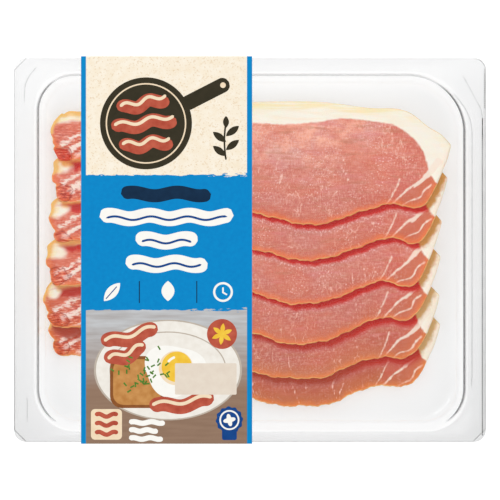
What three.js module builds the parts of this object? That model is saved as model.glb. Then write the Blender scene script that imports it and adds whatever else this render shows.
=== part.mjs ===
// A chilled pack of sliced back bacon, lying on its back with the film side up.
// Six rashers are shingled in a clear formed tray, a clear lidding film is sealed to the tray's
// flange, and a card band is wrapped round the whole pack. Millimetres: +X runs to the right of
// the shown face, +Y to its head and +Z up through the film. The origin is under the middle.
import * as THREE from 'three';

// Driving sizes of the packaging.
const PACK_WIDTH = 236;
const PACK_DEPTH = 192;
const CAVITY_DEPTH = 18;
const TRAY_WALL = 0.5;
const FILM_THICKNESS = 0.2;
const CARD_THICKNESS = 0.4;
const BAND_WIDTH = 85.6;
const BAND_CENTRE_X = -41.7;
const FLAT_GAP = 0.1; // between two flat faces that lie on each other
const BAND_EASE = 0.5; // between the flange's edge and the card's inside
const BAND_FOOT = 86.4; // from the middle to the card's fold beside the tray's base
const BAND_BEND = 0.2; // the bevel of the two folds along the film
const FLANGE_CORNER = 6;
const FILM_CHAMFER = 5;

// The mouth of the cavity in the flange. The larger corner leaves room for the peel tab.
const MOUTH = { left: -106.3, right: 107.5, bottom: -89.5, top: 87.8 };
const MOUTH_CORNERS = { lowerRight: 20, upperRight: 28.5, upperLeft: 18, lowerLeft: 20 };
const WALL_DRAFT = THREE.MathUtils.degToRad(9);
const MOUTH_ROUND = 1; // where the flange turns down into the wall
const BASE_FILLET = 5; // where the wall turns into the base
const CORNER_STEPS = 8;
const FILLET_STEPS = 4;
const ROUND_STEPS = 2;

// Levels, from the table up.
const TRAY_UNDERSIDE = CARD_THICKNESS + FLAT_GAP;
const BASE_TOP = TRAY_UNDERSIDE + TRAY_WALL;
const FLANGE_TOP = BASE_TOP + CAVITY_DEPTH;
const FILM_UNDERSIDE = FLANGE_TOP + FLAT_GAP;
const FILM_TOP = FILM_UNDERSIDE + FILM_THICKNESS;
const BAND_UNDERSIDE = FILM_TOP + FLAT_GAP;

// A rasher, seen from its cut face. Its two long edges are heights at stations along it, from
// the tip of the streaky end to the blunt corner of the rind, which is at height 0.
const RASHER_LENGTH = 200; // of this pattern, before each rasher takes its own length
const RASHER_THICKNESS = 3.3;
const RIND_STATIONS = [0, 1, 5, 14, 50, 92, 130, 158, 181, 189, 196, 200];
const RIND_HEIGHTS = [6.5, 12, 16, 17, 19.5, 21.6, 22, 18.8, 15.4, 9, 4.6, 0];
const LEAN_STATIONS = [0, 1.3, 2.6, 5, 12, 60, 100, 126, 141, 149, 160, 171, 180, 188, 195, 199, 200];
const LEAN_HEIGHTS = [4.5, -1.5, -6, -8, -8, -22, -34, -40, -39, -36, -32, -30, -32, -28, -15, -5, -1.6];
const TAIL = { centre: 8, reach: 12 }; // the foot of the streaky end
const BELLY = { centre: 130, reach: 30 }; // the deepest stretch of the lean edge
const LOBE = { centre: 187, reach: 10 }; // the small round lobe below the blunt corner
const END_FADE = 0.25; // power by which those three fade out at both ends
const COLUMNS = 36;
const ROWS = 10;

// Where each rasher lies: its blunt corner, its turn in degrees and its length. Then how much
// deeper than the pattern its own tail, belly and lobe are. The first is the lowest of the
// stack and the nearest to the pack's foot, and each next one lies on it, further up.
const RASHERS = [
  { place: [95.9, -37.4], turn: 2.4, length: 196, tail: 0.5, belly: -1.2, lobe: -2.6 },
  { place: [95.4, -22.7], turn: 2.5, length: 198, tail: 0, belly: -0.8, lobe: -1.6 },
  { place: [95.7, -3.1], turn: 2, length: 197, tail: 0.9, belly: 1.9, lobe: -1.2 },
  { place: [96.3, 14.7], turn: 1, length: 196, tail: -1.4, belly: 0.5, lobe: 1.6 },
  { place: [99.2, 36.5], turn: 1.2, length: 197.5, tail: 0.9, belly: 0, lobe: 2 },
  { place: [101, 53], turn: 0, length: 200, tail: -0.2, belly: 0, lobe: 0.8 },
];

// How the stack leans. The rashers above a place are lower there by one layer for each pitch
// that the place lies beyond the knee, where the lowest rasher ends.
const LAYER_RISE = 3.5;
const STACK_PITCH = 19.4;
const STACK_SKEW = 0.06;
const KNEE_Y = -12;
const KNEE_SOFTNESS = 0.3;
const STACK_FLOAT = 0.35; // of the lowest rasher above the base
const RIPPLE_HEIGHT = 0.35;
const RIPPLE_LENGTH = 74;

const colours = {
  tray: 0xf2f4f5,
  film: 0xfafcfd,
  card: 0xf6ecd8,
  bacon: 0xdf8a78,
};

function material(colour, roughness, opacity = 1) {
  const clear = opacity < 1;
  return new THREE.MeshStandardMaterial({ color: colour, roughness, opacity, transparent: clear });
}

// A closed surface through rings of equal length, each a list of Vector3. The first and last
// rings are shut with fans. Rings run anticlockwise, seen from above, and start underneath.
function loft(rings) {
  const size = rings[0].length;
  const points = rings.flat();
  const faces = [];
  for (let r = 0; r + 1 < rings.length; r++) {
    for (let i = 0; i < size; i++) {
      const a = r * size + i;
      const b = r * size + ((i + 1) % size);
      faces.push(a, b, b + size, a, b + size, a + size);
    }
  }
  const middle = (ring) => ring.reduce((sum, p) => sum.add(p), new THREE.Vector3()).divideScalar(size);
  const foot = points.push(middle(rings[0])) - 1;
  const crown = points.push(middle(rings.at(-1))) - 1;
  const last = (rings.length - 1) * size;
  for (let i = 0; i < size; i++) {
    const next = (i + 1) % size;
    faces.push(foot, next, i, crown, last + i, last + next);
  }
  return surface(points, faces);
}

function surface(points, faces) {
  const geometry = new THREE.BufferGeometry().setFromPoints(points);
  geometry.setIndex(faces);
  geometry.computeVertexNormals();
  return geometry;
}

// A rectangle with rounded corners at height z, taken in by inset on every side.
function roundedRing(box, corners, inset, z) {
  const centres = [
    [box.right - corners.lowerRight, box.bottom + corners.lowerRight, corners.lowerRight],
    [box.right - corners.upperRight, box.top - corners.upperRight, corners.upperRight],
    [box.left + corners.upperLeft, box.top - corners.upperLeft, corners.upperLeft],
    [box.left + corners.lowerLeft, box.bottom + corners.lowerLeft, corners.lowerLeft],
  ];
  return centres.flatMap(([x, y, radius], quarter) =>
    Array.from({ length: CORNER_STEPS + 1 }, (_, step) => {
      const angle = (quarter - 1 + step / CORNER_STEPS) * (Math.PI / 2);
      const reach = radius - inset;
      return new THREE.Vector3(x + reach * Math.cos(angle), y + reach * Math.sin(angle), z);
    }),
  );
}

const FLANGE = {
  left: -PACK_WIDTH / 2,
  right: PACK_WIDTH / 2,
  bottom: -PACK_DEPTH / 2,
  top: PACK_DEPTH / 2,
};
const FLANGE_CORNERS = {
  lowerRight: FLANGE_CORNER,
  upperRight: FLANGE_CORNER,
  upperLeft: FLANGE_CORNER,
  lowerLeft: FLANGE_CORNER,
};

// One side of the cavity as [inset, z] steps from the base up to the flange: the fillet, the
// drafted wall and the round at the mouth. The outside is the inside moved out by the wall.
function cavityProfile(offset) {
  const steps = [];
  const wallFoot = BASE_TOP + BASE_FILLET * (1 - Math.sin(WALL_DRAFT));
  const wallHead = FLANGE_TOP - MOUTH_ROUND * (1 - Math.sin(WALL_DRAFT));
  const mouthCentre = -MOUTH_ROUND;
  const headInset = mouthCentre + MOUTH_ROUND * Math.cos(WALL_DRAFT);
  const footInset = headInset + (wallHead - wallFoot) * Math.tan(WALL_DRAFT);
  const filletCentre = footInset + BASE_FILLET * Math.cos(WALL_DRAFT);
  const filletRadius = BASE_FILLET + offset;
  const mouthRadius = MOUTH_ROUND - offset;
  for (let i = 0; i <= FILLET_STEPS; i++) {
    const turn = (i / FILLET_STEPS) * (Math.PI / 2 - WALL_DRAFT);
    const inset = filletCentre - filletRadius * Math.sin(turn);
    steps.push([inset, BASE_TOP + BASE_FILLET - filletRadius * Math.cos(turn)]);
  }
  for (let i = 0; i <= ROUND_STEPS; i++) {
    const turn = WALL_DRAFT + (i / ROUND_STEPS) * (Math.PI / 2 - WALL_DRAFT);
    const inset = mouthCentre + mouthRadius * Math.cos(turn);
    steps.push([inset, FLANGE_TOP - MOUTH_ROUND + mouthRadius * Math.sin(turn)]);
  }
  return steps;
}

function trayGeometry() {
  const ringAt = ([inset, z]) => roundedRing(MOUTH, MOUTH_CORNERS, inset, z);
  const outside = cavityProfile(TRAY_WALL).map(ringAt);
  const inside = cavityProfile(0).map(ringAt).reverse();
  const edge = [FLANGE_TOP - TRAY_WALL, FLANGE_TOP].map((z) =>
    roundedRing(FLANGE, FLANGE_CORNERS, 0, z),
  );
  return loft([...outside, ...edge, ...inside]);
}

// The film is as large as the flange. Three of its corners are cut off straight.
function filmGeometry() {
  const outline = new THREE.Shape();
  const { left, right, bottom, top } = FLANGE;
  outline.moveTo(left + FILM_CHAMFER, bottom);
  outline.lineTo(right - FILM_CHAMFER, bottom);
  outline.lineTo(right, bottom + FILM_CHAMFER);
  outline.lineTo(right, top - FLANGE_CORNER);
  outline.absarc(right - FLANGE_CORNER, top - FLANGE_CORNER, FLANGE_CORNER, 0, Math.PI / 2);
  outline.lineTo(left + FILM_CHAMFER, top);
  outline.lineTo(left, top - FILM_CHAMFER);
  outline.lineTo(left, bottom + FILM_CHAMFER);
  const options = { depth: FILM_THICKNESS, bevelEnabled: false, curveSegments: CORNER_STEPS };
  return new THREE.ExtrudeGeometry(outline, options).translate(0, 0, FILM_UNDERSIDE);
}

// The band's section, square to its width: flat over the film, down past the flange's edge,
// in under the flange to the foot of the tray's wall, and flat under the base.
// Outward is 0 for the card's inside and its thickness for its outside.
function bandSection(outward) {
  const half = PACK_DEPTH / 2 + BAND_EASE + outward;
  const foot = BAND_FOOT + outward / 2;
  const top = BAND_UNDERSIDE + outward;
  const tuck = FLANGE_TOP - TRAY_WALL - FLAT_GAP - outward / 2;
  const bottom = CARD_THICKNESS - outward;
  return [
    [-foot, bottom],
    [foot, bottom],
    [half, tuck],
    [half, top - BAND_BEND],
    [half - BAND_BEND, top],
    [-half + BAND_BEND, top],
    [-half, top - BAND_BEND],
    [-half, tuck],
  ].map(([y, z]) => new THREE.Vector2(y, z));
}

function bandGeometry() {
  const section = new THREE.Shape(bandSection(CARD_THICKNESS));
  section.holes.push(new THREE.Path(bandSection(0)));
  const options = { depth: BAND_WIDTH, bevelEnabled: false };
  const geometry = new THREE.ExtrudeGeometry(section, options);
  geometry.rotateY(Math.PI / 2).rotateX(Math.PI / 2); // section to the YZ plane, width along X
  return geometry.translate(BAND_CENTRE_X - BAND_WIDTH / 2, 0, 0);
}

// Layers of the stack that have run out below a place: 0 up to the knee, then 1 for each pitch.
function layersGone(x, y) {
  const along = (y - STACK_SKEW * x - KNEE_Y) / STACK_PITCH;
  return (along + Math.hypot(along, KNEE_SOFTNESS)) / 2;
}

function ripple(x, y) {
  const phase = (2 * Math.PI * (x + 0.35 * y)) / RIPPLE_LENGTH;
  return RIPPLE_HEIGHT * (1 + Math.sin(phase));
}

// A hump of height 1 at the place's centre that dies away over its reach.
const hump = (along, { centre, reach }) => Math.exp(-(((along - centre) / reach) ** 2));

// A rasher is a plate between its two edges. It lies on the rashers below it, all nested alike.
function rasherGeometry(level, { place, turn, length, tail, belly, lobe }) {
  const rindEdge = new THREE.CubicInterpolant(RIND_STATIONS, RIND_HEIGHTS, 1);
  const leanEdge = new THREE.CubicInterpolant(LEAN_STATIONS, LEAN_HEIGHTS, 1);
  const angle = THREE.MathUtils.degToRad(turn);
  const origin = new THREE.Vector2();
  const points = [];
  for (const thickness of [0, RASHER_THICKNESS]) {
    for (let column = 0; column < COLUMNS; column++) {
      const share = (1 - Math.cos((Math.PI * column) / (COLUMNS - 1))) / 2; // closer at both ends
      const along = RASHER_LENGTH * share;
      const deeper = tail * hump(along, TAIL) + belly * hump(along, BELLY) + lobe * hump(along, LOBE);
      const low = leanEdge.evaluate(along)[0] - deeper * Math.sin(Math.PI * share) ** END_FADE;
      const high = rindEdge.evaluate(along)[0];
      for (let row = 0; row < ROWS; row++) {
        const height = THREE.MathUtils.lerp(low, high, row / (ROWS - 1));
        const spot = new THREE.Vector2(length * (share - 1), height).rotateAround(origin, angle);
        const [x, y] = [spot.x + place[0], spot.y + place[1]];
        const lift = LAYER_RISE * (level - layersGone(x, y)) + ripple(x, y);
        points.push(new THREE.Vector3(x, y, BASE_TOP + STACK_FLOAT + lift + thickness));
      }
    }
  }
  return surface(points, plateFaces());
}

// Triangles of a plate whose points are a grid of the underside and then one of the top.
function plateFaces() {
  const under = (column, row) => column * ROWS + row;
  const over = (column, row) => under(column, row) + COLUMNS * ROWS;
  const faces = [];
  const quad = (a, b, c, d) => faces.push(a, b, c, a, c, d);
  for (let c = 0; c + 1 < COLUMNS; c++) {
    for (let r = 0; r + 1 < ROWS; r++) {
      quad(over(c, r), over(c + 1, r), over(c + 1, r + 1), over(c, r + 1));
      quad(under(c, r), under(c, r + 1), under(c + 1, r + 1), under(c + 1, r));
    }
    quad(under(c, 0), under(c + 1, 0), over(c + 1, 0), over(c, 0));
    quad(over(c, ROWS - 1), over(c + 1, ROWS - 1), under(c + 1, ROWS - 1), under(c, ROWS - 1));
  }
  for (let r = 0; r + 1 < ROWS; r++) {
    quad(under(0, r), over(0, r), over(0, r + 1), under(0, r + 1));
    quad(under(COLUMNS - 1, r), under(COLUMNS - 1, r + 1), over(COLUMNS - 1, r + 1), over(COLUMNS - 1, r));
  }
  return faces;
}

const pack = new THREE.Group();

function add(name, geometry, finish) {
  const mesh = new THREE.Mesh(geometry, finish);
  mesh.name = name;
  pack.add(mesh);
}

add('tray', trayGeometry(), material(colours.tray, 0.1, 0.3));
add('lidding_film', filmGeometry(), material(colours.film, 0.08, 0.15));
add('card_band', bandGeometry(), material(colours.card, 0.6));
RASHERS.forEach((place, level) => {
  add(`rasher_${level + 1}`, rasherGeometry(level, place), material(colours.bacon, 0.4));
});

export default pack;
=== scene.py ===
"""A chilled pack of sliced back bacon, lying film side up on a pale table.

Six rashers are shingled in a clear formed tray, a clear film is welded over its mouth, and a
printed card band goes round the whole. Sizes are in millimetres and become metres in each mesh.
"""

import bpy
import numpy as np
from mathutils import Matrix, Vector


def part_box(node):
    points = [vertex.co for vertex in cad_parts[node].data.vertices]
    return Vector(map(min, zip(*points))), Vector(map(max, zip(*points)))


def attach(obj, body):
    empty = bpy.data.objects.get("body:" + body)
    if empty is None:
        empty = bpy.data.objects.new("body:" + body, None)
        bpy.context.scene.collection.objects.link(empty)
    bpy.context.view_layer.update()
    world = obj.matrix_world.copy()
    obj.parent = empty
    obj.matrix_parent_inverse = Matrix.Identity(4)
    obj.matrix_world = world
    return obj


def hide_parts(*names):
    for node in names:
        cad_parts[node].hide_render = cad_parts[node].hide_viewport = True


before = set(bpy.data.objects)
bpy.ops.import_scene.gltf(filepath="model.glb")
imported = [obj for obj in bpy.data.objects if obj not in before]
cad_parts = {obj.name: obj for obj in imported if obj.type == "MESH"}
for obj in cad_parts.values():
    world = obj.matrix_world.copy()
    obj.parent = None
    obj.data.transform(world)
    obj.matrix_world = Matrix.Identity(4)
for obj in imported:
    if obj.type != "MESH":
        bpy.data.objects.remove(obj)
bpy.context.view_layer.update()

MM = 0.001

# The studio. A pale table with a broad soft lamp beyond the pack's head and an even white room.
# The camera looks straight down through a long lens, as the pack was photographed.

ROOM_STRENGTH = 0.78
LAMP_POWER = 28.0
LAMP_PLACE = (-1.0, 1.05, 2.75)
LAMP_SIZE = 1.6
TABLE_GLOW = 0.245  # makes up for the light that the clear sheets above it take away
LENS_MM = 200.0
SENSOR_MM = 36.0
VIEW_WIDTH = 0.25  # what the frame takes in at the height of the film
FILM_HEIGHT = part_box("lidding_film")[1][2]


def tinted(red, green, blue):
    """A colour given in 0 to 255 screen values, as the linear light that shaders take."""
    share = np.array([red, green, blue]) / 255
    linear = np.where(share <= 0.04045, share / 12.92, ((share + 0.055) / 1.055) ** 2.4)
    return (*linear.tolist(), 1.0)


def wire(tree, kind, sockets, **settings):
    """Adds a shader node, with its settings, and its sockets set to values or linked."""
    node = tree.nodes.new("ShaderNode" + kind)
    for name, value in settings.items():
        setattr(node, name, value)
    for key, value in sockets.items():
        if isinstance(value, bpy.types.NodeSocket):
            tree.links.new(value, node.inputs[key])
        else:
            node.inputs[key].default_value = value
    return node


def blank_material(name):
    """A material with only its output node, and that node's tree."""
    material = bpy.data.materials.new(name)
    material.use_nodes = True
    tree = material.node_tree
    tree.nodes.clear()
    return material, tree


def finish_material(tree, surface):
    """Joins the last shader to the material's output."""
    wire(tree, "OutputMaterial", {"Surface": surface.outputs[0]})


def build(name, points, faces, material, values=None, smooth=True):
    """A mesh object from points in millimetres and faces of equal length.

    Values holds attributes for the material, one number or one vector for each point.
    """
    mesh = bpy.data.meshes.new(name)
    corners = faces.shape[1]
    mesh.vertices.add(len(points))
    mesh.vertices.foreach_set("co", (points * MM).astype(np.float32).ravel())
    mesh.loops.add(faces.size)
    mesh.loops.foreach_set("vertex_index", faces.astype(np.int32).ravel())
    mesh.polygons.add(len(faces))
    mesh.polygons.foreach_set("loop_start", np.arange(0, faces.size, corners, dtype=np.int32))
    mesh.polygons.foreach_set("use_smooth", np.full(len(faces), smooth))
    mesh.update(calc_edges=True)
    for label, numbers in (values or {}).items():
        vector = numbers.ndim == 2
        layer = mesh.attributes.new(label, "FLOAT_VECTOR" if vector else "FLOAT", "POINT")
        layer.data.foreach_set("vector" if vector else "value", numbers.astype(np.float32).ravel())
    mesh.materials.append(material)
    piece = bpy.data.objects.new(name, mesh)
    bpy.context.scene.collection.objects.link(piece)
    return piece


table_material, tree = blank_material("pale_table")
surface = wire(tree, "BsdfPrincipled", {
    "Base Color": tinted(253, 253, 253), "Roughness": 0.9, "Specular IOR Level": 0.0,
    "Emission Color": (1.0, 1.0, 1.0, 1.0), "Emission Strength": TABLE_GLOW})
finish_material(tree, surface)
TABLE_SIDE = 4000.0
table_points = np.array([[-1, -1, 0], [1, -1, 0], [1, 1, 0], [-1, 1, 0]]) * TABLE_SIDE / 2
table = build("table", table_points, np.array([[0, 1, 2, 3]]), table_material)

room = bpy.data.worlds.new("room")
room.use_nodes = True
bpy.context.scene.world = room
backdrop = room.node_tree.nodes["Background"]
backdrop.inputs["Color"].default_value = (1.0, 1.0, 1.0, 1.0)
backdrop.inputs["Strength"].default_value = ROOM_STRENGTH

lamp_data = bpy.data.lights.new("soft_lamp", "AREA")
lamp_data.energy = LAMP_POWER
lamp_data.size = LAMP_SIZE
lamp = bpy.data.objects.new("soft_lamp", lamp_data)
lamp.location = LAMP_PLACE
lamp.rotation_euler = Vector(LAMP_PLACE).to_track_quat("Z", "Y").to_euler()
bpy.context.scene.collection.objects.link(lamp)

camera_data = bpy.data.cameras.new("camera")
camera_data.lens = LENS_MM
camera_data.sensor_width = SENSOR_MM
camera = bpy.data.objects.new("camera", camera_data)
camera.location = (0.0, 0.0, FILM_HEIGHT + VIEW_WIDTH * LENS_MM / SENSOR_MM)
bpy.context.scene.collection.objects.link(camera)
bpy.context.scene.camera = camera
bpy.context.scene.view_settings.view_transform = "Standard"

# The tray. One clear plastic sheet, half a millimetre thick, drawn down into a mould. It has a
# flat flange, a rounded mouth, a slightly sloping wall and a broad fillet round its base.

TRAY_LOW, TRAY_HIGH = (np.array(corner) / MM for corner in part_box("tray"))
TRAY_WALL = 0.5
MOUTH = {"left": -106.3, "right": 107.5, "bottom": -89.5, "top": 87.8}
MOUTH_CORNERS = (20.0, 28.5, 18.0, 20.0)  # lower right, upper right, upper left, lower left
FLANGE = {"left": TRAY_LOW[0], "right": TRAY_HIGH[0], "bottom": TRAY_LOW[1], "top": TRAY_HIGH[1]}
FLANGE_CORNERS = (6.0, 6.0, 6.0, 6.0)
BASE_TOP = TRAY_LOW[2] + TRAY_WALL
FLANGE_TOP = TRAY_HIGH[2]
WALL_DRAFT = np.radians(9)
MOUTH_ROUND = 1.0
BASE_FILLET = 5.0
CORNER_STEPS = 24
SIDE_STEPS = 12
FILLET_STEPS, ROUND_STEPS = 12, 8
WALL_SHARES = np.array([0.3, 0.7, 0.76, 0.97])  # rings up the wall, as shares of its height
# How dark each wall ring is painted: painted shade only at the wall's head.
WALL_SHADES = [0, 0, 0.9, 1.0]
FLANGE_SHARES = np.array([0.08, 0.2, 0.4, 0.6, 0.8, 0.95])  # rings from mouth to flange edge
LINE_LEFT, LINE_HEAD = 0.85, 0.4  # how dark the wall's line is there, where the right is 1
FACING_FROM, FACING_SPAN = 0.5, 0.3  # a side's line fades in as the wall turns to face it
GLOSS_LIMIT = 0.12


def rounded_ring(box, corners, inset, straight_cuts=()):
    """Points round a rectangle whose corners are arcs, taken in by the inset on every side.

    Each corner is centre plus radius times cosine and sine. A corner in straight_cuts is a
    straight line between the arc's two ends instead.
    """
    centres = np.array([
        [box["right"] - corners[0], box["bottom"] + corners[0]],
        [box["right"] - corners[1], box["top"] - corners[1]],
        [box["left"] + corners[2], box["top"] - corners[2]],
        [box["left"] + corners[3], box["bottom"] + corners[3]],
    ])
    share = np.linspace(0, 1, CORNER_STEPS + 1)
    pieces = []
    for quarter, (centre, radius) in enumerate(zip(centres, corners)):
        turn = (quarter - 1 + share) * np.pi / 2
        arc = centre + (radius - inset) * np.stack([np.cos(turn), np.sin(turn)], axis=1)
        if quarter in straight_cuts:
            arc = arc[:1] + (arc[-1:] - arc[:1]) * share[:, None]
        pieces.append(arc)
    ring = []
    for quarter, arc in enumerate(pieces):
        following = pieces[(quarter + 1) % 4][0]
        side = np.linspace(arc[-1], following, SIDE_STEPS + 1)[1:-1]
        ring += [arc, side]
    return np.concatenate(ring)


def ring_normals(ring):
    """Outward directions of a closed ring of points that runs anticlockwise."""
    along = np.roll(ring, -1, axis=0) - np.roll(ring, 1, axis=0)
    outward = np.stack([along[:, 1], -along[:, 0]], axis=1)
    return outward / np.linalg.norm(outward, axis=1, keepdims=True)


def loft(rings):
    """A closed surface through rings of equal length, shut by a fan in the first and last.

    Returns the points and the faces, which all have three corners.
    """
    rings = np.stack(rings)
    count, size = rings.shape[:2]
    index = np.arange(count * size).reshape(count, size)
    a, b = index[:-1], np.roll(index, -1, axis=1)[:-1]
    c, d = np.roll(index, -1, axis=1)[1:], index[1:]
    walls = np.concatenate([np.stack([a, b, c], -1).reshape(-1, 3),
                            np.stack([a, c, d], -1).reshape(-1, 3)])
    foot, crown = count * size, count * size + 1
    low, high = index[0], index[-1]
    fans = np.concatenate([
        np.stack([np.full(size, foot), np.roll(low, -1), low], -1),
        np.stack([np.full(size, crown), high, np.roll(high, -1)], -1),
    ])
    points = np.concatenate([rings.reshape(-1, 3), [rings[0].mean(0), rings[-1].mean(0)]])
    return points, np.concatenate([walls, fans])


def at_height(ring, height):
    """A flat ring of points lifted to one height."""
    return np.column_stack([ring, np.full(len(ring), height)])


def wall_profile(outward):
    """Insets, heights and shade from base to flange: fillet, drafted wall and mouth round.

    The outside of the sheet is the inside moved outward by the sheet's thickness. The painted
    shade is highest where the sheet turns down, and fades over the round towards the flange.
    """
    wall_foot = BASE_TOP + BASE_FILLET * (1 - np.sin(WALL_DRAFT))
    wall_head = FLANGE_TOP - MOUTH_ROUND * (1 - np.sin(WALL_DRAFT))
    head_inset = MOUTH_ROUND * (np.cos(WALL_DRAFT) - 1)
    foot_inset = head_inset + (wall_head - wall_foot) * np.tan(WALL_DRAFT)
    fillet_centre = foot_inset + BASE_FILLET * np.cos(WALL_DRAFT)
    fillet = BASE_FILLET + outward
    mouth = MOUTH_ROUND - outward
    low_turn = np.linspace(0, np.pi / 2 - WALL_DRAFT, FILLET_STEPS)
    high_turn = np.linspace(WALL_DRAFT, np.pi / 2, ROUND_STEPS)

    def up_the_wall(low, high):
        return np.concatenate([low, low[-1] + (high[0] - low[-1]) * WALL_SHARES, high])

    insets = up_the_wall(fillet_centre - fillet * np.sin(low_turn),
                         mouth * np.cos(high_turn) - MOUTH_ROUND)
    heights = up_the_wall(BASE_TOP + BASE_FILLET - fillet * np.cos(low_turn),
                          FLANGE_TOP - MOUTH_ROUND + mouth * np.sin(high_turn))
    round_shades = (1 - 0.95 * high_turn / high_turn[-1]) ** 1.5
    return insets, heights, np.concatenate([np.zeros(FILLET_STEPS), WALL_SHADES, round_shades])


def beside(kind, sockets, **settings):
    """Adds a shader node to the tree that its incoming sockets belong to."""
    tree = next(value.id_data for value in sockets.values()
                if isinstance(value, bpy.types.NodeSocket))
    return wire(tree, kind, sockets, **settings)


def field(tree, label, output="Fac"):
    """The numbers that a mesh attribute holds for each point."""
    return wire(tree, "Attribute", {}, attribute_name=label).outputs[output]


def calc(kind, first, second=0.0, third=0.0):
    """One step of arithmetic on sockets and numbers."""
    return beside("Math", {0: first, 1: second, 2: third}, operation=kind).outputs[0]


def blend(share, first, second):
    """The first colour where the share is 0, the second where it is 1."""
    return beside("Mix", {0: share, 6: first, 7: second}, data_type="RGBA").outputs[2]


def clear_plastic(name, pale, dark, gloss, roughness):
    """Thin clear plastic: it shows what is behind, a little greyed, and mirrors the room.

    The attribute shade runs from 0, where the sheet is pale, to 1, where it looks darkest. It is
    painted shade: the dark line where the sheet turns down, and the grey of its flat parts,
    are set by side and place rather than by the lamp.
    """
    material, tree = blank_material(name)
    tint = blend(field(tree, "shade"), pale, dark)
    see_through = wire(tree, "BsdfTransparent", {"Color": tint}).outputs[0]
    mirror = wire(tree, "BsdfGlossy", {"Color": (1, 1, 1, 1), "Roughness": roughness}).outputs[0]
    edge = wire(tree, "Fresnel", {"IOR": 1.5}).outputs[0]
    amount = calc("MINIMUM", calc("MULTIPLY", edge, gloss), GLOSS_LIMIT)
    finish_material(tree, wire(tree, "MixShader", {0: amount, 1: see_through, 2: mirror}))
    return material


tray_material = clear_plastic("tray_plastic", (0.975, 0.976, 0.977, 1), (0.16, 0.16, 0.165, 1),
                              0.4, 0.06)

inside_inset, inside_height, inside_shade = wall_profile(0.0)
outside_inset, outside_height, _ = wall_profile(TRAY_WALL)
mouth_ring = rounded_ring(MOUTH, MOUTH_CORNERS, -MOUTH_ROUND)
flange_ring = rounded_ring(FLANGE, FLANGE_CORNERS, 0.0)
# Painted shade where the sheet turns down: the right side darkest, the foot not at all.
facing_x, facing_y = ring_normals(mouth_ring).T
side_line_shade = (np.clip((facing_x - FACING_FROM) / FACING_SPAN, 0, 1)
              + LINE_LEFT * np.clip((-facing_x - FACING_FROM) / FACING_SPAN, 0, 1)
              + LINE_HEAD * np.clip(facing_y, 0, 1) ** 2)
# Round a corner the painted line is half as wide: the mouth's round stays pale there.
corner_share = 1 - 0.85 * (2 * facing_x * facing_y) ** 2
# Painted shade on the flat flange: its head pale, its foot greyer, most so in the two corners.
towards_foot = (FLANGE["top"] - mouth_ring[:, 1]) / (FLANGE["top"] - FLANGE["bottom"])
towards_side = np.abs(mouth_ring[:, 0]) / FLANGE["right"]
flange_painted_shade = (0.09 + 0.03 * towards_foot + 0.022 * towards_foot ** 4
                + 0.15 * (towards_foot * towards_side) ** 5)
# Painted shade on the base: a little darker towards the foot.
base_painted_shade = 0.035 * towards_foot ** 1.5
rings, shades = [], []
for inset, height in zip(outside_inset, outside_height):
    rings.append(at_height(rounded_ring(MOUTH, MOUTH_CORNERS, inset), height))
    shades.append(np.zeros(len(mouth_ring)))
for height in (FLANGE_TOP - TRAY_WALL, FLANGE_TOP):
    rings.append(at_height(flange_ring, height))
    shades.append(flange_painted_shade)
for share in FLANGE_SHARES[::-1]:
    rings.append(at_height(mouth_ring + (flange_ring - mouth_ring) * share, FLANGE_TOP))
    shades.append(flange_painted_shade)
for inset, height, shade in zip(inside_inset[::-1], inside_height[::-1], inside_shade[::-1]):
    rings.append(at_height(rounded_ring(MOUTH, MOUTH_CORNERS, inset), height))
    if height < BASE_TOP + BASE_FILLET:
        shades.append(base_painted_shade)
    elif height > FLANGE_TOP - MOUTH_ROUND:
        shades.append(shade * side_line_shade * corner_share)
    else:
        shades.append(shade * side_line_shade)
tray_points, tray_faces = loft(rings)
tray_shade = np.concatenate([*shades, [0, base_painted_shade.mean()]])
tray = build("tray_sheet", tray_points, tray_faces, tray_material, {"shade": tray_shade})
tray.visible_shadow = False
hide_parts("tray")
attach(tray, "root")

# The rashers. Each is a slice of cured pork loin with its streaky tail: lean meat, a cap of
# cream fat along the rind, thin seams of fat between the muscles, and a tan rind at its end.
# They lie shingled, each on the one below it, all bent alike over the lowest one's edge.

RASHER_LENGTH = 200.0
RASHER_THICKNESS = 3.3
RIND_STATIONS = [0, 1, 5, 14, 50, 92, 130, 158, 181, 189, 196, 200]
RIND_HEIGHTS = [6.5, 12, 16, 17, 19.5, 21.6, 22, 18.8, 15.4, 9, 4.6, 0]
LEAN_STATIONS = [0, 1.3, 2.6, 5, 12, 60, 100, 126, 141, 149, 160, 171, 180, 188, 195, 199, 200]
LEAN_HEIGHTS = [4.5, -1.5, -6, -8, -8, -22, -34, -40, -39, -36, -32, -30, -32, -28, -15, -5,
                -1.6]
TAIL = (8.0, 12.0)  # centre and reach along the rasher
BELLY = (130.0, 30.0)
LOBE = (187.0, 10.0)
RASHER_FEATURES = ("place", "turn", "length", "tail", "belly", "lobe", "fat")
RASHERS = [dict(zip(RASHER_FEATURES, row)) for row in (  # from the lowest to the top one
    ((95.9, -37.4), 2.4, 196, 0.5, -1.2, -2.6, 0.8),
    ((95.4, -22.7), 2.5, 198, 0.0, -0.8, -1.6, 0.9),
    ((95.7, -3.1), 2.0, 197, 0.9, 1.9, -1.2, 1.0),
    ((96.3, 14.7), 1.0, 196, -1.4, 0.5, 1.6, 1.0),
    ((99.2, 36.5), 1.2, 197.5, 0.9, 0.0, 2.0, 1.0),
    ((101.0, 53.0), 0.0, 200, -0.2, 0.0, 0.8, 0.3),
)]
LAYER_RISE = 3.5  # from one rasher's underside to the next one's, where they overlap
STACK_PITCH = 19.4
STACK_SKEW = 0.06
KNEE_Y = -12.0  # beyond it the stack steps down towards the head
KNEE_SOFTNESS = 0.3
STACK_FLOAT = 0.35  # keeps the lowest rasher clear of the tray's base
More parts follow.
